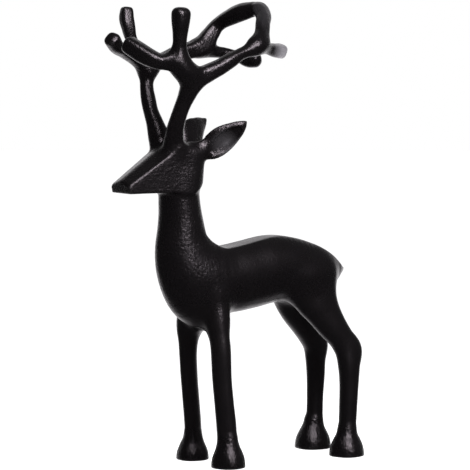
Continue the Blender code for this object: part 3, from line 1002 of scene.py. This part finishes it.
# %% [markdown]
# ## One material for the whole casting
#
# The coat reflects about 4 per cent of the light straight on and much more at a slant, which is
# what a Principled shader with a plain, non-metallic surface does.  The colour is nearly nothing,
# apart from painted highlights on the ridges and on a few patches: almost all that is seen is
# reflection, so the shape is told by the roughness and the lights.
# For the same reason the coat's faint purple-brown is not in its colour but in the tint of its
# reflection.

# %%
COAT_BLACK = (0.0019, 0.0016, 0.0018, 1)
# the painted highlight grey on the ridges
PAINTED_RIDGE_HIGHLIGHT = (0.030, 0.029, 0.030, 1)
DUST_GREY = (0.060, 0.057, 0.056, 1)
# the lighter grey of the painted highlights on the low tine's tip, the ring's left end and the ear
PAINTED_HIGHLIGHT_GREY = (0.22, 0.21, 0.23, 1)
PATINA_TINT = (1.0, 0.88, 0.965, 1)
SATIN = 0.27
MOTTLED, SHEEN_SMOOTHER, DUST_ROUGHER = 0.10, -0.08, 0.25
GRAIN_SIZE, GRAIN_DEPTH = 0.0024, 0.00032
FILE_FINENESS, FILE_SHARE = 620.0, 0.5

black_coat = bpy.data.materials.new("black coat")
black_coat.use_nodes = True
tree = black_coat.node_tree
coat = tree.nodes["Principled BSDF"]
coat.inputs["Specular Tint"].default_value = PATINA_TINT


def place(group, **values):
    """Put a node group into the material with its own values."""
    return put(tree, "ShaderNodeGroup", {"node_tree": group}, **values)


skin_grain = place(grain, Size=GRAIN_SIZE, Peel=1.0, Sand=0.35)
# mask of the painted highlight on the ridges, also used to make them smoother
ridge_sheen_mask = place(painted_sheen, Amount=0.8, Patchy=0.7).outputs["Mask"]
dusty = place(dust, Amount=0.1).outputs["Mask"]


def mixed_colour(share, first, second):
    """A Mix node between two colours."""
    mix = tree.nodes.new("ShaderNodeMix")
    mix.data_type = "RGBA"
    tree.links.new(share, mix.inputs["Factor"])
    for socket, value in ((mix.inputs[6], first), (mix.inputs[7], second)):
        if isinstance(value, bpy.types.NodeSocket):
            tree.links.new(value, socket)
        else:
            socket.default_value = value
    return mix.outputs[2]


# the share of lighter grey painted in as painted highlight, read from the vertex attribute
thin = put(tree, "ShaderNodeAttribute", {"attribute_name": "painted_highlight"}).outputs["Fac"]
# the ridges get the painted highlight grey; dust lays a lighter, rougher grey
colour = mixed_colour(dusty, mixed_colour(ridge_sheen_mask, COAT_BLACK, PAINTED_RIDGE_HIGHLIGHT), DUST_GREY)
colour = mixed_colour(thin, colour, PAINTED_HIGHLIGHT_GREY)
tree.links.new(colour, coat.inputs["Base Color"])

duller_here = put(tree, "ShaderNodeAttribute", {"attribute_name": "duller"}).outputs["Fac"]
coarse_here = put(tree, "ShaderNodeAttribute", {"attribute_name": "coarse"}).outputs["Fac"]
mottle = skin_grain.outputs["Mottle"]
rough = maths(tree, "MULTIPLY_ADD", mottle, MOTTLED, SATIN - MOTTLED / 2)
rough = maths(tree, "MULTIPLY_ADD", ridge_sheen_mask, SHEEN_SMOOTHER, rough)
rough = maths(tree, "MULTIPLY_ADD", dusty, DUST_ROUGHER, rough)
rough = maths(tree, "ADD", duller_here, rough)
tree.links.new(rough, coat.inputs["Roughness"])

filed = place(marks, Fineness=FILE_FINENESS).outputs["Height"]
height = maths(tree, "MULTIPLY_ADD", filed, FILE_SHARE, skin_grain.outputs["Height"])
rise = maths(tree, "MULTIPLY", height, coarse_here)
bump = put(tree, "ShaderNodeBump", Strength=1.0, Distance=GRAIN_DEPTH, Height=rise)
tree.links.new(bump.outputs["Normal"], coat.inputs["Normal"])
skin.materials.append(black_coat)

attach(deer, "root")
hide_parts("reindeer")
print("coat roughness about", SATIN)

# %% [markdown]
# ## Floor
#
# A pale round floor, large enough for its edge to be lost in the white behind.  It glows a
# little less than white by itself, so that it joins the background.  Reflections do not see it,
# because in the photograph the black flank shows a dark room and not a lit table.

# %%
FLOOR_RADIUS, FLOOR_CORNERS = 5.0, 96
FLOOR_GLOW = 0.95

turn = np.linspace(0, 2 * math.pi, FLOOR_CORNERS + 1)[:-1]
rim = np.stack([FLOOR_RADIUS * np.cos(turn), FLOOR_RADIUS * np.sin(turn), 0 * turn], 1)
floor_mesh = bpy.data.meshes.new("floor")
floor_mesh.from_pydata(rim.tolist(), [], [list(range(len(rim)))])
floor = bpy.data.objects.new("floor", floor_mesh)
bpy.context.scene.collection.objects.link(floor)
floor.visible_glossy = False

pale = bpy.data.materials.new("pale floor")
pale.use_nodes = True
paint = pale.node_tree.nodes["Principled BSDF"]
paint.inputs["Base Color"].default_value = (0.86, 0.86, 0.87, 1)
paint.inputs["Roughness"].default_value = 0.7
paint.inputs["Specular IOR Level"].default_value = 0.0
paint.inputs["Emission Color"].default_value = (1, 1, 1, 1)
paint.inputs["Emission Strength"].default_value = FLOOR_GLOW
floor_mesh.materials.append(pale)
print("floor", 2 * FLOOR_RADIUS, "m across")

# %% [markdown]
# ## Light
#
# A black satin thing is lit by what it reflects.  The room is white behind the figure, at its
# height and lower down, which draws bright rims on every edge that turns away, and dim behind
# the camera, which keeps the flank black.  A third panel, wide and very dim, hangs to the upper
# right.  The room is painted as the world's colour, by direction: each panel is a cap of the
# sky, full inside one angle and fading to nothing at a wider one.  The camera itself sees plain
# white.

# %%
# turned right from the camera's own direction, height, full inside, gone outside, brightness
PANELS = [
    (180, -3, 24, 52, 0.72),
    (180, -32, 24, 52, 0.6),
    (92, 52, 38, 72, 0.05),
]
ROOM = 0.050


def towards(turned, height):
    """A direction as seen from the figure: round from the camera and up from the floor."""
    around = VIEW_ROUND + math.radians(turned)
    up = math.radians(height)
    return math.sin(around) * math.cos(up), -math.cos(around) * math.cos(up), math.sin(up)


world = bpy.data.worlds.new("studio")
bpy.context.scene.world = world
world.use_nodes = True
sky = world.node_tree
sky.nodes.clear()
look = put(sky, "ShaderNodeTexCoord").outputs["Generated"]
light = ROOM
for turned, height, full, gone, bright in PANELS:
    facing = put(sky, "ShaderNodeVectorMath", {"operation": "DOT_PRODUCT"}, i0=look,
                 i1=towards(turned, height)).outputs["Value"]
    cap = put(sky, "ShaderNodeMapRange", {"interpolation_type": "SMOOTHSTEP"}, Value=facing,
              From_Min=math.cos(math.radians(gone)), From_Max=math.cos(math.radians(full)))
    light = maths(sky, "MULTIPLY_ADD", cap.outputs[0], bright, light)
seen = put(sky, "ShaderNodeLightPath").outputs["Is Camera Ray"]
white = put(sky, "ShaderNodeBackground", Color=(1, 1, 1, 1), Strength=1.0)
lit = put(sky, "ShaderNodeBackground", Color=(1.0, 0.985, 1.0, 1), Strength=light)
either = put(sky, "ShaderNodeMixShader", Fac=seen, i1=lit.outputs[0], i2=white.outputs[0])
put(sky, "ShaderNodeOutputWorld", Surface=either.outputs[0])
bpy.context.scene.view_settings.view_transform = "Standard"
print(len(PANELS), "panels in the room")

# %% [markdown]
# ## Two soft lamps
#
# A window-like panel stands to the right of the camera and above it, so the neck carries a long
# soft highlight.  A smaller and weaker lamp hangs higher up, a little to the left of the camera,
# and lights the bells of the hooves, the ear and the tines.

# %%
# name, turned right from the camera, height, distance, width and height in metres, watts
LAMPS = [
    ("window", 30, 31, 1.1, 0.35, 0.58, 11.8),
    ("lamp above", -8, 54, 1.1, 0.38, 0.38, 4.3),
]
AIM_AT = Vector((0.0, 0.0, 0.22))

for name, turned, height, away, wide, tall, watts in LAMPS:
    lamp = bpy.data.objects.new(name, bpy.data.lights.new(name, "AREA"))
    bpy.context.scene.collection.objects.link(lamp)
    lamp.data.shape = "RECTANGLE"
    lamp.data.size, lamp.data.size_y = wide, tall
    lamp.data.energy = watts
    lamp.location = AIM_AT + Vector(towards(turned, height)) * away
    lamp.rotation_euler = (AIM_AT - lamp.location).to_track_quat("-Z", "Y").to_euler()
    lamp.visible_camera = False
    print(name, "at", [round(c, 2) for c in lamp.location])

# %%
bpy.context.view_layer.update()
